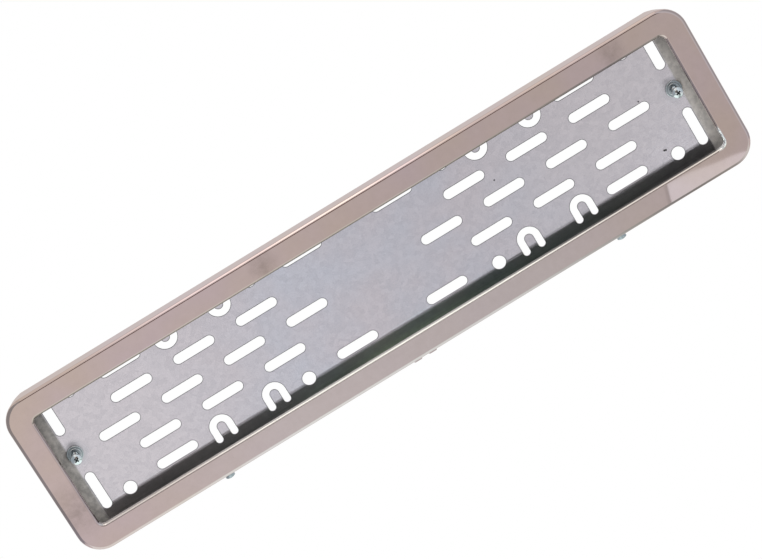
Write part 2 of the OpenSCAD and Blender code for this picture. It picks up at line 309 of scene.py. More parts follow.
def polished_stainless():
    """Polished stainless sheet: a soft mirror with handling tints, a dull back in painted light, a painted
    highlight on the lower lip and painted shade under the upper lip.
    """
    material, tree, shader = new_material("polished_stainless", {})
    place = add(tree, "ShaderNodeTexCoord")
    position = place.outputs["Object"]
    where = add(tree, "ShaderNodeSeparateXYZ", links={"Vector": position})
    facing = add(tree, "ShaderNodeSeparateXYZ", links={"Vector": place.outputs["Normal"]})

    sideways = add(tree, "ShaderNodeMath", {"operation": "ABSOLUTE"}, {0: where.outputs["X"]})
    low = add(tree, "ShaderNodeMath", {"operation": "LESS_THAN", 1: BOTTOM_RAIL}, {0: where.outputs["Z"]})

    # Handling and heat leave broad tints, about 60 mm across, in pink and beige
    broad = add(tree, "ShaderNodeTexNoise", {"Scale": 16.0, "Detail": 2.0, "Roughness": 0.5},
                {"Vector": position})
    spread = add(tree, "ShaderNodeMapRange", {"From Min": 0.35, "From Max": 0.65},
                 {"Value": broad.outputs["Fac"]})
    tint = add(tree, "ShaderNodeMix", {"data_type": "RGBA", 6: srgb("BAA8A0"), 7: srgb("BAA8A9")},
               {0: spread.outputs[0]})
    # The bottom rail is greyer in the middle
    central = add(tree, "ShaderNodeMapRange",
                  {"From Min": 100.0 * MM, "From Max": 250.0 * MM, "To Min": 0.8, "To Max": 0.0},
                  {"Value": sideways.outputs[0]})
    greyed = add(tree, "ShaderNodeMath", {"operation": "MULTIPLY"},
                 {0: central.outputs[0], 1: low.outputs[0]})
    greyer = add(tree, "ShaderNodeMix", {"data_type": "RGBA", 7: srgb("BFB5B5")},
                 {0: greyed.outputs[0], 6: tint.outputs[2]})
    # The mill's clouding, 4 mm across, shows as slight unevenness
    cloud = add(tree, "ShaderNodeTexNoise", {"Scale": 220.0, "Detail": 4.0, "Roughness": 0.6},
                {"Vector": position})
    uneven = add(tree, "ShaderNodeMapRange",
                 {"From Min": 0.3, "From Max": 0.7, "To Min": 0.0, "To Max": 0.1},
                 {"Value": cloud.outputs["Fac"]})
    clouded = add(tree, "ShaderNodeMix", {"data_type": "RGBA", 7: srgb("8E8078")},
                  {0: uneven.outputs[0], 6: greyer.outputs[2]})
    # Finger smudges where the photograph has them
    smudges = marks_at(tree, position,
                       [((-62, -16, 49), 13), ((214, -16, 49), 12), ((-259, -16, -30), 24)])
    broken = add(tree, "ShaderNodeMath", {"operation": "MULTIPLY"}, {0: smudges, 1: cloud.outputs["Fac"]})
    faded = add(tree, "ShaderNodeMath", {"operation": "MULTIPLY", 1: 0.75}, {0: broken.outputs[0]})
    smudged = add(tree, "ShaderNodeMix", {"data_type": "RGBA", 7: srgb("7C6F68")},
                  {0: faded.outputs[0], 6: clouded.outputs[2]})

    # The lower lip's upturned shoulder is painted nearly white, most in the middle: a painted highlight
    turned_up = add(tree, "ShaderNodeMapRange", {"From Min": 0.12, "From Max": 0.35},
                    {"Value": facing.outputs["Z"]})
    least = add(tree, "ShaderNodeMapRange",
                {"From Min": 60.0 * MM, "From Max": 180.0 * MM, "To Min": 1.0, "To Max": 0.45},
                {"Value": sideways.outputs[0]})
    lower = add(tree, "ShaderNodeMath", {"operation": "MULTIPLY"},
                {0: turned_up.outputs[0], 1: low.outputs[0]})
    lip_highlight_mask = add(tree, "ShaderNodeMath", {"operation": "MULTIPLY"},
                 {0: lower.outputs[0], 1: least.outputs[0]})
    lip_highlight = add(tree, "ShaderNodeMix", {"data_type": "RGBA", 7: srgb("EAE7E1")},
                 {0: lip_highlight_mask.outputs[0], 6: smudged.outputs[2]})
    # The top of the lower lip is dark, dull and not metallic, most at the right
    turned_in = add(tree, "ShaderNodeMapRange", {"From Min": 0.72, "From Max": 0.9},
                    {"Value": facing.outputs["Z"]})
    lower_top = add(tree, "ShaderNodeMath", {"operation": "MULTIPLY"},
                    {0: turned_in.outputs[0], 1: low.outputs[0]})
    rightmost = add(tree, "ShaderNodeMapRange",
                    {"From Min": 20.0 * MM, "From Max": 160.0 * MM, "To Min": 0.25, "To Max": 0.95},
                    {"Value": where.outputs["X"]})
    lip_top_darkening = add(tree, "ShaderNodeMath", {"operation": "MULTIPLY"},
                  {0: lower_top.outputs[0], 1: rightmost.outputs[0]})
    darker_lip_top = add(tree, "ShaderNodeMix", {"data_type": "RGBA", 7: srgb("4A4644")},
                {0: lip_top_darkening.outputs[0], 6: lip_highlight.outputs[2]})
    # The upper lip's downturned faces are darker, as painted shade under the overhang, apart from its right
    # end
    turned_down = add(tree, "ShaderNodeMapRange", {"From Min": -0.1, "From Max": -0.4},
                      {"Value": facing.outputs["Z"]})
    high = add(tree, "ShaderNodeMath", {"operation": "GREATER_THAN", 1: TOP_RAIL}, {0: where.outputs["Z"]})
    upper = add(tree, "ShaderNodeMath", {"operation": "MULTIPLY"},
                {0: turned_down.outputs[0], 1: high.outputs[0]})
    shade_fades_right = add(tree, "ShaderNodeMapRange",
                {"From Min": 110.0 * MM, "From Max": 220.0 * MM, "To Min": 1.0, "To Max": 0.1},
                {"Value": where.outputs["X"]})
    underside_shade = add(tree, "ShaderNodeMath", {"operation": "MULTIPLY"},
                 {0: upper.outputs[0], 1: shade_fades_right.outputs[0]})
    shaded_underside = add(tree, "ShaderNodeMix", {"data_type": "RGBA", 7: srgb("8E8078")},
                {0: underside_shade.outputs[0], 6: darker_lip_top.outputs[2]})
    # Small crinkles are pressed into the lip at the window's lower right corner, and a painted highlight
    # turns them near white
    crease = add(tree, "ShaderNodeTexNoise", {"Scale": 620.0, "Detail": 2.0}, {"Vector": position})
    corner = marks_at(tree, position, [((251, -15, -44), 10)])
    off_face = add(tree, "ShaderNodeMapRange", {"From Min": -0.99, "From Max": -0.9},
                   {"Value": facing.outputs["Y"]})
    crinkled = add(tree, "ShaderNodeMath", {"operation": "MULTIPLY"}, {0: corner, 1: off_face.outputs[0]})
    glint_mask = add(tree, "ShaderNodeMath", {"operation": "MULTIPLY", 1: 2.4, "use_clamp": True},
               {0: crinkled.outputs[0]})
    glinting = add(tree, "ShaderNodeMix", {"data_type": "RGBA", 7: srgb("FBF9F6")},
                {0: glint_mask.outputs[0], 6: shaded_underside.outputs[2]})

    # The back keeps the mill's dull finish; its colour is painted light, greenish and palest near the
    # middle, which the sheet mirrors, in streaks along the rails
    behind = add(tree, "ShaderNodeMapRange", {"From Min": 0.1, "From Max": 0.3},
                 {"Value": facing.outputs["Y"]})
    along = add(tree, "ShaderNodeMapRange", {"From Min": -250.0 * MM, "From Max": 250.0 * MM},
                {"Value": where.outputs["X"]})
    back_light = add(tree, "ShaderNodeValToRGB", links={"Fac": along.outputs[0]})
    stops = back_light.color_ramp.elements
    for position_on_rail, code in ((0.3, "BCC4B2"), (0.48, "E8FCDC"), (0.64, "A0B69E")):
        stops.new(position_on_rail).color = srgb(code)
    stops[0].color, stops[-1].color = srgb("B8B6AC"), srgb("7E807A")
    long_streaks = add(tree, "ShaderNodeMapping", {"Scale": (14.0, 220.0, 220.0)}, {"Vector": position})
    streak = add(tree, "ShaderNodeTexNoise", {"Scale": 1.0, "Detail": 2.0},
                 {"Vector": long_streaks.outputs[0]})
    streaky = add(tree, "ShaderNodeMapRange",
                  {"From Min": 0.35, "From Max": 0.65, "To Min": 0.0, "To Max": 0.22},
                  {"Value": streak.outputs["Fac"]})
    streaked_back_light = add(tree, "ShaderNodeMix", {"data_type": "RGBA", 7: srgb("5A5F5A")},
               {0: streaky.outputs[0], 6: back_light.outputs["Color"]})
    colour = add(tree, "ShaderNodeMix", {"data_type": "RGBA"},
                 {0: behind.outputs[0], 6: glinting.outputs[2], 7: streaked_back_light.outputs[2]})
    tree.links.new(colour.outputs[2], shader.inputs["Base Color"])
    unpolished = add(tree, "ShaderNodeMath", {"operation": "MAXIMUM"},
                     {0: behind.outputs[0], 1: lower_top.outputs[0]})
    metal = add(tree, "ShaderNodeMapRange", {"To Min": 1.0, "To Max": 0.0},
                {"Value": unpolished.outputs[0]})
    tree.links.new(metal.outputs[0], shader.inputs["Metallic"])
    dull = add(tree, "ShaderNodeMapRange", {"To Min": 0.02, "To Max": 0.4},
               {"Value": unpolished.outputs[0]})
    lip_gloss = add(tree, "ShaderNodeMapRange", {"To Min": 0.0, "To Max": 0.28},
                    {"Value": lip_highlight_mask.outputs[0]})
    gloss = add(tree, "ShaderNodeMath", {"operation": "ADD"}, {0: dull.outputs[0], 1: lip_gloss.outputs[0]})
    smeared = add(tree, "ShaderNodeMath", {"operation": "MULTIPLY_ADD", 1: 0.25},
                  {0: faded.outputs[0], 2: gloss.outputs[0]})
    tree.links.new(smeared.outputs[0], shader.inputs["Roughness"])

    # The crinkles stand up to 2 mm high
    crease_height = add(tree, "ShaderNodeMath", {"operation": "MULTIPLY"},
                        {0: crinkled.outputs[0], 1: crease.outputs["Fac"]})
    creases = add(tree, "ShaderNodeBump", {"Strength": 1.0, "Distance": 2.2 * MM},
                  {"Height": crease_height.outputs[0]})
    # Pressing leaves the faces very slightly wavy, in swells about 90 mm long
    swell = add(tree, "ShaderNodeTexNoise", {"Scale": 11.0, "Detail": 1.0}, {"Vector": position})
    waves = add(tree, "ShaderNodeBump", {"Strength": 1.0, "Distance": 0.5 * MM},
                {"Height": swell.outputs["Fac"], "Normal": creases.outputs["Normal"]})
    tree.links.new(waves.outputs["Normal"], shader.inputs["Normal"])
    return material


def galvanised_sheet():
    """Galvanised cold-rolled sheet: pale bluish grey, a faint grain along X, and a painted reflection in
    dull grey at both ends.
    """
    material, tree, shader = new_material("galvanised_sheet", {})
    place = add(tree, "ShaderNodeTexCoord")
    position = place.outputs["Object"]
    where = add(tree, "ShaderNodeSeparateXYZ", links={"Vector": position})
    outwards = add(tree, "ShaderNodeMath", {"operation": "ABSOLUTE"}, {0: where.outputs["X"]})
    facing = add(tree, "ShaderNodeSeparateXYZ", links={"Vector": place.outputs["Normal"]})
    front = add(tree, "ShaderNodeMath", {"operation": "LESS_THAN", 1: 0.0}, {0: facing.outputs["Y"]})

    # Pink and blue patches about 50 mm across; the sheet is painted paler near both ends, as painted light
    patches = add(tree, "ShaderNodeTexNoise", {"Scale": 20.0, "Detail": 3.0}, {"Vector": position})
    spread = add(tree, "ShaderNodeMapRange", {"From Min": 0.35, "From Max": 0.65},
                 {"Value": patches.outputs["Fac"]})
    sheet = add(tree, "ShaderNodeMix", {"data_type": "RGBA", 6: srgb("C2C3CE"), 7: srgb("C8C2C9")},
                {0: spread.outputs[0]})
    near_end = add(tree, "ShaderNodeMapRange", {"From Min": 60.0 * MM, "From Max": 180.0 * MM},
                   {"Value": outwards.outputs[0]})
    tint = add(tree, "ShaderNodeMix", {"data_type": "RGBA", 7: srgb("CEC8CD")},
               {0: near_end.outputs[0], 6: sheet.outputs[2]})
    # The front beside the lower bend is painted bright near the middle, as painted light
    lowest = add(tree, "ShaderNodeMapRange", {"From Min": -48.0 * MM, "From Max": -53.0 * MM},
                 {"Value": where.outputs["Z"]})
    by_bend = add(tree, "ShaderNodeMath", {"operation": "MULTIPLY"},
                  {0: lowest.outputs[0], 1: front.outputs[0]})
    midway = add(tree, "ShaderNodeMapRange",
                 {"From Min": 20.0 * MM, "From Max": 110.0 * MM, "To Min": 0.8, "To Max": 0.0},
                 {"Value": outwards.outputs[0]})
    painted_bend_light = add(tree, "ShaderNodeMath", {"operation": "MULTIPLY"},
                      {0: by_bend.outputs[0], 1: midway.outputs[0]})
    lit_by_bend = add(tree, "ShaderNodeMix", {"data_type": "RGBA", 7: srgb("F2F6EE")},
                 {0: painted_bend_light.outputs[0], 6: tint.outputs[2]})
    # The mill's rolls leave a grain along X: lines 40 mm long and 0.7 mm apart, coarser than real ones
    stretched = add(tree, "ShaderNodeMapping", {"Scale": (25.0, 25.0, 1400.0)}, {"Vector": position})
    lines = add(tree, "ShaderNodeTexNoise", {"Scale": 1.0, "Detail": 2.0}, {"Vector": stretched.outputs[0]})
    dark_lines = add(tree, "ShaderNodeMapRange", {"From Min": 0.45, "From Max": 0.62, "To Max": 0.5},
                     {"Value": lines.outputs["Fac"]})
    streaked = add(tree, "ShaderNodeMath", {"operation": "MULTIPLY"},
                   {0: dark_lines.outputs[0], 1: by_bend.outputs[0]})
    lined = add(tree, "ShaderNodeMix", {"data_type": "RGBA", 7: srgb("6E726E")},
                {0: streaked.outputs[0], 6: lit_by_bend.outputs[2]})
    # Spangle cells of 3 mm and a fine mottle of 1 mm
    spangle = add(tree, "ShaderNodeTexVoronoi", {"Scale": 330.0}, {"Vector": position})
    cell = add(tree, "ShaderNodeSeparateColor", links={"Color": spangle.outputs["Color"]})
    mottle = add(tree, "ShaderNodeTexNoise", {"Scale": 900.0, "Detail": 3.0, "Roughness": 0.6},
                 {"Vector": position})
    grain_mix = add(tree, "ShaderNodeMath", {"operation": "MULTIPLY_ADD", 1: 0.35},
                    {0: cell.outputs[0], 2: mottle.outputs["Fac"]})
    uneven = add(tree, "ShaderNodeMapRange",
                 {"From Min": 0.35, "From Max": 1.0, "To Min": 0.0, "To Max": 0.34},
                 {"Value": grain_mix.outputs[0]})
    mottled = add(tree, "ShaderNodeMix", {"data_type": "RGBA", 7: srgb("94939B")},
                  {0: uneven.outputs[0], 6: lined.outputs[2]})

    # A strip at both ends is a painted reflection: dull grey and mottled
    dull = add(tree, "ShaderNodeMapRange", {"From Min": 243.6 * MM, "From Max": 245.0 * MM},
               {"Value": outwards.outputs[0]})
    strip_mottle = add(tree, "ShaderNodeTexNoise", {"Scale": 260.0, "Detail": 4.0, "Roughness": 0.65},
                {"Vector": position})
    strip_mottle_range = add(tree, "ShaderNodeMapRange", {"From Min": 0.38, "From Max": 0.62},
                      {"Value": strip_mottle.outputs["Fac"]})
    # The strips are painted paler to the right and outwards, as painted light
    rightwards = add(tree, "ShaderNodeMapRange",
                     {"From Min": -250.0 * MM, "From Max": 250.0 * MM, "To Max": 0.5},
                     {"Value": where.outputs["X"]})
    outermost = add(tree, "ShaderNodeMapRange",
                    {"From Min": 246.0 * MM, "From Max": 255.0 * MM, "To Max": 0.35},
                    {"Value": outwards.outputs[0]})
    paler = add(tree, "ShaderNodeMath", {"operation": "ADD"},
                {0: rightwards.outputs[0], 1: outermost.outputs[0]})
    strip_tone = add(tree, "ShaderNodeMath", {"operation": "MULTIPLY_ADD", 1: 0.5, "use_clamp": True},
                  {0: strip_mottle_range.outputs[0], 2: paler.outputs[0]})
    strip_grey = add(tree, "ShaderNodeMix", {"data_type": "RGBA", 6: srgb("95918F"), 7: srgb("DED7D2")},
                    {0: strip_tone.outputs[0]})
    # Both painted strips are darker towards the top, as painted shade
    upwards = add(tree, "ShaderNodeMapRange",
                  {"From Min": 12.0 * MM, "From Max": 34.0 * MM, "To Max": 0.42},
                  {"Value": where.outputs["Z"]})
    shaded = add(tree, "ShaderNodeMix", {"data_type": "RGBA", 7: srgb("6E6A68")},
                 {0: upwards.outputs[0], 6: strip_grey.outputs[2]})
    ends = add(tree, "ShaderNodeMix", {"data_type": "RGBA"},
               {0: dull.outputs[0], 6: mottled.outputs[2], 7: shaded.outputs[2]})

    # Three small dark nicks beside the slots, the first of them two spots wide
    nicks = marks_at(tree, position,
                     [((213.2, -1, -34.5), 1.1), ((214.3, -1, -34.8), 1.1),
                      ((214.5, -1, 5.2), 0.9), ((102.5, -1, 11), 0.9)])
    dark = add(tree, "ShaderNodeMapRange", {"From Min": 0.2, "From Max": 0.5}, {"Value": nicks})
    colour = add(tree, "ShaderNodeMix", {"data_type": "RGBA", 7: srgb("2A2828")},
                 {0: dark.outputs[0], 6: ends.outputs[2]})
    tree.links.new(colour.outputs[2], shader.inputs["Base Color"])

    # The painted strips are also less metallic and rougher
    metal = add(tree, "ShaderNodeMapRange", {"To Min": 0.94, "To Max": 0.3}, {"Value": dull.outputs[0]})
    tree.links.new(metal.outputs[0], shader.inputs["Metallic"])
    gloss = add(tree, "ShaderNodeMapRange", {"To Min": 0.15, "To Max": 0.5}, {"Value": dull.outputs[0]})
    # The washers have scuffed the sheet round them
    scuffs = marks_at(tree, position, [((-240, -1, 0), 12), ((240, -1, 0), 12)])
    scuffed = add(tree, "ShaderNodeMath", {"operation": "MULTIPLY_ADD", 1: 0.5},
                  {0: scuffs, 2: gloss.outputs[0]})
    tree.links.new(scuffed.outputs[0], shader.inputs["Roughness"])

    # The grain's relief
    grain = add(tree, "ShaderNodeBump", {"Strength": 1.0, "Distance": 0.03 * MM},
                {"Height": lines.outputs["Fac"]})
    # The sheet dips half a millimetre towards its lower bend
    dip = add(tree, "ShaderNodeMapRange", {"From Min": -51.0 * MM, "From Max": -42.0 * MM},
              {"Value": where.outputs["Z"]})
    dipped = add(tree, "ShaderNodeBump", {"Strength": 1.0, "Distance": 0.5 * MM},
                 {"Height": dip.outputs[0], "Normal": grain.outputs["Normal"]})
    tree.links.new(dipped.outputs["Normal"], shader.inputs["Normal"])
    return material


def bright_zinc():
    """Bright zinc plating on the end screws: bluish white and glossy."""
    material, tree, shader = new_material("bright_zinc", {"Metallic": 1.0, "Roughness": 0.12})
    place = add(tree, "ShaderNodeTexCoord")
    # Plating varies over about 1 mm
    cloud = add(tree, "ShaderNodeTexNoise", {"Scale": 900.0, "Detail": 3.0},
                {"Vector": place.outputs["Object"]})
    tint = add(tree, "ShaderNodeMix", {"data_type": "RGBA", 6: srgb("DDE0E0"), 7: srgb("B4BABB")},
               {0: cloud.outputs["Fac"]})
    tree.links.new(tint.outputs[2], shader.inputs["Base Color"])
    relief = add(tree, "ShaderNodeBump", {"Strength": 1.0, "Distance": 0.03 * MM},
                 {"Height": cloud.outputs["Fac"]})
    tree.links.new(relief.outputs["Normal"], shader.inputs["Normal"])
    return material


def rolled_zinc():
    """Zinc on the washers: satin grey faces, with a painted highlight on the rolled edges and painted shade
    on the sheared rims.
    """
    material, tree, shader = new_material("rolled_zinc", {"Metallic": 1.0, "Roughness": 0.32})
    place = add(tree, "ShaderNodeTexCoord")
    facing = add(tree, "ShaderNodeSeparateXYZ", links={"Vector": place.outputs["Normal"]})
    outwards = add(tree, "ShaderNodeMapRange", {"From Min": -1.0, "From Max": 0.0},
                   {"Value": facing.outputs["Y"]})
    # The colour follows the facing: grey front faces, a painted highlight on the roll and painted shade on
    # the rim
    edge_light_and_shade = add(tree, "ShaderNodeValToRGB", links={"Fac": outwards.outputs[0]})
    stops = edge_light_and_shade.color_ramp.elements
    for stop, code in ((0.03, "949B9F"), (0.1, "F6F8F8"), (0.55, "E8ECEC")):
        stops.new(stop).color = srgb(code)
    stops[0].color, stops[-1].color = srgb("949B9F"), srgb("3C4042")
    # Tumbling marks, about 1 mm
    cloud = add(tree, "ShaderNodeTexNoise", {"Scale": 1100.0, "Detail": 3.0},
                {"Vector": place.outputs["Object"]})
    uneven = add(tree, "ShaderNodeMath", {"operation": "MULTIPLY", 1: 0.3}, {0: cloud.outputs["Fac"]})
    tint = add(tree, "ShaderNodeMix", {"data_type": "RGBA", 7: srgb("6A7074")},
               {0: uneven.outputs[0], 6: edge_light_and_shade.outputs["Color"]})
    tree.links.new(tint.outputs[2], shader.inputs["Base Color"])
    return material


def dull_zinc():
    """Barrel-plated zinc on the nuts and the clamp screws: a bluish mid grey with a satin shine."""
    material, tree, shader = new_material("dull_zinc", {"Metallic": 1.0, "Roughness": 0.27})
    place = add(tree, "ShaderNodeTexCoord")
    # Tumbling marks, about 1 mm
    cloud = add(tree, "ShaderNodeTexNoise", {"Scale": 1100.0, "Detail": 3.0},
                {"Vector": place.outputs["Object"]})
    tint = add(tree, "ShaderNodeMix", {"data_type": "RGBA", 6: srgb("8B9296"), 7: srgb("AEB5B8")},
               {0: cloud.outputs["Fac"]})
    tree.links.new(tint.outputs[2], shader.inputs["Base Color"])
    relief = add(tree, "ShaderNodeBump", {"Strength": 1.0, "Distance": 0.05 * MM},
                 {"Height": cloud.outputs["Fac"]})
    tree.links.new(relief.outputs["Normal"], shader.inputs["Normal"])
    return material


def painted_recess_shade():
    """A screw recess's dark fill, nearly black and matte: painted shade in the recess."""
    material, tree, shader = new_material("painted_recess_shade", {"Metallic": 0.3, "Roughness": 0.55})
    place = add(tree, "ShaderNodeTexCoord")
    speckle = add(tree, "ShaderNodeTexNoise", {"Scale": 2500.0, "Detail": 2.0},
                 {"Vector": place.outputs["Object"]})
    tint = add(tree, "ShaderNodeMix", {"data_type": "RGBA", 6: srgb("34373A"), 7: srgb("5C6063")},
               {0: speckle.outputs["Fac"]})
    tree.links.new(tint.outputs[2], shader.inputs["Base Color"])
    return material


def sheared_steel_and_shade():
    """The sheared rim of a punched hole: bare steel, a little rough, and darker than the zinc, partly as
    painted shade along the hole's edge.
    """
    material, tree, shader = new_material("sheared_steel_and_shade", {"Metallic": 1.0, "Roughness": 0.38})
    place = add(tree, "ShaderNodeTexCoord")
    # The punch tears the edge every millimetre or so
    torn = add(tree, "ShaderNodeTexNoise", {"Scale": 800.0, "Detail": 2.0},
               {"Vector": place.outputs["Object"]})
    tint = add(tree, "ShaderNodeMix", {"data_type": "RGBA", 6: srgb("5E5D5E"), 7: srgb("8D8B8E")},
               {0: torn.outputs["Fac"]})
    tree.links.new(tint.outputs[2], shader.inputs["Base Color"])
    return material


# Modelling helpers

def pick(kind, wanted):
    """Selects the vertices or edges of the mesh in edit mode that a test wants."""
    bpy.ops.mesh.select_mode(type=kind)
    bpy.ops.mesh.select_all(action="DESELECT")
    mesh = bpy.context.object.data
    opened = bmesh.from_edit_mesh(mesh)
    for element in {"VERT": opened.verts, "EDGE": opened.edges}[kind]:
        element.select_set(wanted(element))
    opened.select_flush_mode()
    bmesh.update_edit_mesh(mesh)


def edit(work):
    """Runs a piece of work in edit mode."""
    bpy.ops.object.mode_set(mode="EDIT")
    work()
    bpy.ops.object.mode_set(mode="OBJECT")


def join(pieces, name):
    """Joins pieces into the first one."""
    bpy.ops.object.select_all(action="DESELECT")
    for piece in pieces:
        piece.select_set(True)
    bpy.context.view_layer.objects.active = pieces[0]
    bpy.ops.object.join()
    piece = bpy.context.object
    piece.name = name
    bpy.ops.object.select_all(action="DESELECT")
    return piece


def cut(piece, tool, operation="DIFFERENCE"):
    """Cuts a piece with a tool, which is used up."""
    bpy.ops.object.select_all(action="DESELECT")
    bpy.context.view_layer.objects.active = piece
    piece.select_set(True)
    step = piece.modifiers.new("cut", "BOOLEAN")
    step.operation = operation
    step.solver = "EXACT"
    step.material_mode = "TRANSFER"
    step.object = tool
    bpy.ops.object.modifier_apply(modifier=step.name)
    bpy.data.objects.remove(tool)


def ease_edges(piece, width, segments, angle):
    """Rounds the edges that are sharper than an angle."""
    bpy.context.view_layer.objects.active = piece
    step = piece.modifiers.new("eased_edges", "BEVEL")
    step.width = width
    step.segments = segments
    step.limit_method = "ANGLE"
    step.angle_limit = math.radians(angle)
    bpy.ops.object.modifier_apply(modifier=step.name)


def smooth(piece, angle):
    """Shades a piece smooth, apart from its sharp edges."""
    bpy.ops.object.select_all(action="DESELECT")
    bpy.context.view_layer.objects.active = piece
    piece.select_set(True)
    bpy.ops.object.shade_smooth_by_angle(angle=math.radians(angle))
    piece.select_set(False)


def settle(piece, place, node):
    """Puts a finished piece in its place in the holder, in the stead of its CAD node."""
    piece.data.transform(place)
    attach(piece, "root")
    if node:
        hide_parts(node)


# Screws, washers and nuts

def turned(name, finish, radius, steps, sides=48):
    """A round solid: a disc that is drawn up in steps of rise and scale, and starts at z = 0."""
    bpy.ops.mesh.primitive_circle_add(vertices=sides, radius=radius, fill_type="NGON", location=(0, 0, 0))
    piece = bpy.context.object
    piece.name = name

    def draw_up():
        bpy.ops.mesh.select_all(action="SELECT")
        for rise, scale in steps:
            bpy.ops.mesh.extrude_region_move(TRANSFORM_OT_translate={"value": (0, 0, rise)})
            bpy.ops.transform.resize(value=(scale, scale, 1))
        bpy.ops.mesh.select_all(action="SELECT")
        bpy.ops.mesh.normals_make_consistent(inside=False)
    edit(draw_up)
    piece.data.materials.append(finish)
    return piece


def pan_head(finish, recess_fill, d, h, rim):
    """A pan head with a rounded shoulder, a low crown and a cross recess that tapers inwards."""
    crown = h - rim
    dome_r = ((d / 2) ** 2 + crown ** 2) / (2 * crown)
    foot = 0.15 * MM
    steps = [(foot, 1.0), (rim - foot, 1.0)]
    reached, radius = 0.0, d / 2
    for k in range(1, DOME_STEPS):
        across = d / 2 * math.cos(math.pi / 2 * k / DOME_STEPS)
        rise = math.sqrt(dome_r ** 2 - across ** 2) - (dome_r - crown)
        steps.append((rise - reached, across / radius))
        reached, radius = rise, across
    head = turned("head", finish, d / 2, steps)
    cut(head, cross_cutter(recess_fill, h))
    ease_edges(head, width=0.07 * MM, segments=2, angle=38)
    return head


def cross_cutter(recess_fill, top):
    """The driver's cross: two crossed blades that taper inwards and stand above the head's top."""
    above = 1.0 * MM
    height = CROSS_D + above
    blades = []
    for turn in (0, 90):
        bpy.ops.mesh.primitive_cube_add(size=1, location=(0, 0, 0))
        blade = bpy.context.object

        def taper():
            bpy.ops.mesh.select_all(action="SELECT")
            bpy.ops.transform.resize(value=(CROSS_L, CROSS_W, height))
            bpy.ops.transform.translate(value=(0, 0, top - CROSS_D + height / 2))
            pick("VERT", lambda v: v.co.z < top)
            bpy.ops.transform.resize(value=(*CROSS_TAPER, 1), center_override=(0, 0, top))
            bpy.ops.mesh.select_all(action="SELECT")
            bpy.ops.transform.rotate(value=math.radians(turn), orient_axis="Z", center_override=(0, 0, 0))
        edit(taper)
        # The blades give the cross recess its painted shade
        blade.data.materials.append(recess_fill)
        blades.append(blade)
    cut(blades[0], blades[1], "UNION")
    return blades[0]


def thread(finish, d, pitch, length):
    """A helical ridge of a real pitch on a core, with a chamfered tip at z = -length."""
    depth = RIDGE_DEPTH * pitch
    core_r = d / 2 - depth
    tip_r = core_r - 0.25 * MM
    tip_h = 0.3 * MM
    core = turned("core", finish, tip_r, [(tip_h, core_r / tip_r), (length - tip_h, 1.0)], sides=32)
    core.data.transform(Matrix.Translation((0, 0, -length)))
    bpy.ops.mesh.primitive_plane_add(size=1, location=(0, 0, 0))
    ridge = bpy.context.object
    sunk = 0.1 * MM
    middle = core_r + depth / 2 - sunk / 2
    start = -length + RIDGE_START * pitch

    def draw_profile():
        bpy.ops.mesh.select_all(action="SELECT")
        bpy.ops.transform.resize(value=(depth + sunk, RIDGE_FOOT * pitch, 1))
        bpy.ops.transform.rotate(value=math.radians(90), orient_axis="X", center_override=(0, 0, 0))
        bpy.ops.transform.translate(value=(middle, 0, start))
        pick("VERT", lambda v: v.co.x > middle)
        bpy.ops.transform.resize(value=(1, 1, RIDGE_CREST), center_override=(middle, 0, start))
        bpy.ops.mesh.select_all(action="SELECT")
        bpy.ops.mesh.delete(type="ONLY_FACE")
    edit(draw_profile)
    step = ridge.modifiers.new("thread", "SCREW")
    step.axis = "Z"
    step.screw_offset = pitch
    step.steps = step.render_steps = STEPS_A_TURN
    step.iterations = int((length - RIDGE_RUN_OUT * pitch) / pitch)
    bpy.ops.object.modifier_apply(modifier=step.name)

    def close():
        bpy.ops.mesh.select_all(action="SELECT")
        bpy.ops.mesh.remove_doubles(threshold=0.001 * MM)
        bpy.ops.mesh.fill_holes(sides=0)
        bpy.ops.mesh.select_all(action="SELECT")
        bpy.ops.mesh.normals_make_consistent(inside=False)
    edit(close)
    ridge.data.materials.append(finish)
    return [core, ridge]


def machine_screw(name, finish, recess_fill, d, pitch, length, head_d, head_h, rim):
    """A cross-recessed pan head screw, its head's underside at z = 0."""
    head = pan_head(finish, recess_fill, head_d, head_h, rim)
    screw = join([head] + thread(finish, d, pitch, length), name)
    smooth(screw, angle=32)
    return screw


def hex_nut(name, finish, across, h, bore):
    """A hexagon nut on z = 0, with both faces turned to a chamfer and a countersunk bore."""
    corner = across / math.sqrt(3)
    bpy.ops.mesh.primitive_cylinder_add(vertices=6, radius=corner, depth=h, location=(0, 0, 0))
    nut = bpy.context.object
    nut.data.materials.append(finish)
    nut.data.transform(Matrix.Translation((0, 0, h / 2)) @ Matrix.Rotation(math.radians(30), 4, "Z"))
    fall = (corner - across / 2) * CHAMFER_FALL
    flat = across / 2 * CHAMFER_START
    rest = flat + fall / math.tan(CHAMFER_ANGLE) * CHAMFER_SPARE
    chamfers = [(fall, rest / flat), (h - 2 * fall, 1.0), (fall, flat / rest)]
    cut(nut, turned("turning", finish, flat, chamfers, sides=64), "INTERSECT")
    beyond = 0.1 * MM
    mouth = 0.35 * MM
    bore_r = bore / 2
    mouth_r = bore_r + mouth + beyond
    bores = [(mouth + beyond, bore_r / mouth_r), (h - 2 * mouth, 1.0), (mouth + beyond, mouth_r / bore_r)]
    drill = turned("drill", finish, mouth_r, bores, sides=32)
    drill.data.transform(Matrix.Translation((0, 0, -beyond)))
    cut(nut, drill)
    ease_edges(nut, width=0.06 * MM, segments=1, angle=50)
    nut.name = name
    smooth(nut, angle=25)
    return nut


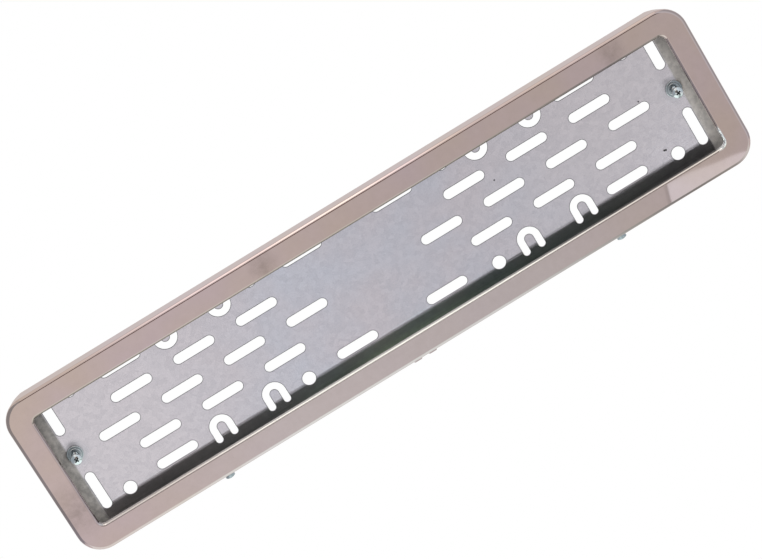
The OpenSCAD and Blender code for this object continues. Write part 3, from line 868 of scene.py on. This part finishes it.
def stamped_washer(name, finish, d, thick, bore):
    """A washer on z = 0: its edges are rolled on one side and sheared on the other."""
    roll = 0.45 * MM
    foot = 0.05 * MM
    outer = d / 2
    steps = [(foot, outer / (outer - foot)), (thick - roll - foot, 1.0)]
    reached = outer
    for rise, inset in ROLL_STEPS:
        steps.append((roll * rise, (outer - roll * inset) / reached))
        reached = outer - roll * inset
    washer = turned(name, finish, outer - foot, steps, sides=64)
    beyond = 0.5 * MM
    drill = turned("drill", finish, bore / 2, [(thick + 2 * beyond, 1.0)], sides=32)
    drill.data.transform(Matrix.Translation((0, 0, -beyond)))
    cut(washer, drill)
    ease_edges(washer, width=0.08 * MM, segments=2, angle=60)
    smooth(washer, angle=40)
    return washer


def fasten(bright, rolled, satin, recess_fill):
    """The two end screws with their washers and nuts, and the two clamp screws with their nuts."""
    forwards = Matrix.Rotation(math.radians(90), 4, "X")
    downwards = Matrix.Rotation(math.radians(180), 4, "X")
    for side, sign in (("left", -1), ("right", 1)):
        x = sign * SCREW_X
        end_screw = machine_screw("end_screw_%s_threaded" % side, bright, recess_fill, **END_SCREW)
        turned_in = Matrix.Rotation(math.radians(SCREW_TURNS[side]), 4, "Z")
        place = Matrix.Translation((x, HEAD_SEAT, 0)) @ forwards @ turned_in
        settle(end_screw, place, "end_screw_" + side)

        wide = stamped_washer("wide_washer_%s_stamped" % side, rolled, **WIDE_WASHER)
        place = Matrix.Translation((x, SHEET_FRONT, 0)) @ forwards
        settle(wide, place, "wide_washer_" + side)

        small = stamped_washer("small_washer_%s_stamped" % side, rolled, **SMALL_WASHER)
        place = Matrix.Translation((x, SHEET_FRONT - WIDE_WASHER["thick"], 0)) @ forwards
        settle(small, place, "small_washer_" + side)

        nut = hex_nut("end_nut_%s_chamfered" % side, satin, **END_NUT)
        place = Matrix.Translation((x, END_NUT["h"], 0)) @ forwards
        settle(nut, place, "end_nut_" + side)

        clamp = machine_screw("clamp_screw_%s_threaded" % side, satin, recess_fill, **CLAMP_SCREW)
        place = Matrix.Translation((sign * CLAMP_X, CLAMP_Y, CLAMP_SEAT)) @ downwards
        settle(clamp, place, "clamp_screw_" + side)

        small_nut = hex_nut("clamp_nut_%s_chamfered" % side, satin, **CLAMP_NUT)
        place = Matrix.Translation((sign * CLAMP_X, CLAMP_Y, CLAMP_NUT_FOOT))
        settle(small_nut, place, "clamp_nut_" + side)


def rim_the_holes(finish):
    """The sheared rim round every punched hole, as a fine bead on the sheet's front edge, dark partly as
    painted shade.
    """
    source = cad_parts["base_plate"]
    bpy.ops.object.select_all(action="DESELECT")
    rims = bpy.data.objects.new("punched_rims", source.data.copy())
    scene.collection.objects.link(rims)
    bpy.context.view_layer.objects.active = rims
    rims.select_set(True)

    def keep_rims():
        bpy.ops.mesh.select_all(action="SELECT")
        bpy.ops.mesh.remove_doubles(threshold=0.002 * MM)
        level = 0.02 * MM
        sharp = math.radians(60)

        def on_rim(edge):
            ends = [v.co for v in edge.verts]
            if any(abs(c.y - SHEET_FRONT) > level for c in ends) or len(edge.link_faces) != 2:
                return False
            if any(abs(c.x) > RIMS_X or not RIMS_LOW < c.z < RIMS_HIGH for c in ends):
                return False
            return edge.calc_face_angle(0) > sharp
        pick("EDGE", lambda edge: not on_rim(edge))
        bpy.ops.mesh.delete(type="EDGE_FACE")
        bpy.ops.mesh.select_all(action="SELECT")
        bpy.ops.mesh.delete_loose(use_verts=True, use_edges=False, use_faces=False)
    edit(keep_rims)
    bpy.ops.object.convert(target="CURVE")
    rims = bpy.context.object
    rims.data.bevel_depth = RIM_R
    rims.data.bevel_resolution = 1
    bpy.ops.object.convert(target="MESH")
    rims = bpy.context.object
    smooth(rims, angle=60)
    rims.data.materials.clear()
    rims.data.materials.append(finish)
    settle(rims, Matrix.Identity(4), None)


def dress(node, material):
    """Gives a CAD node its finish."""
    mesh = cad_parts[node].data
    mesh.materials.clear()
    mesh.materials.append(material)


look_through_camera()
light_the_world()
lay_floor()
hang_lamp()
hang_cards()

dress("bezel", polished_stainless())
dress("base_plate", galvanised_sheet())
fasten(bright_zinc(), rolled_zinc(), dull_zinc(), painted_recess_shade())
rim_the_holes(sheared_steel_and_shade())

scene.view_settings.view_transform = "Standard"
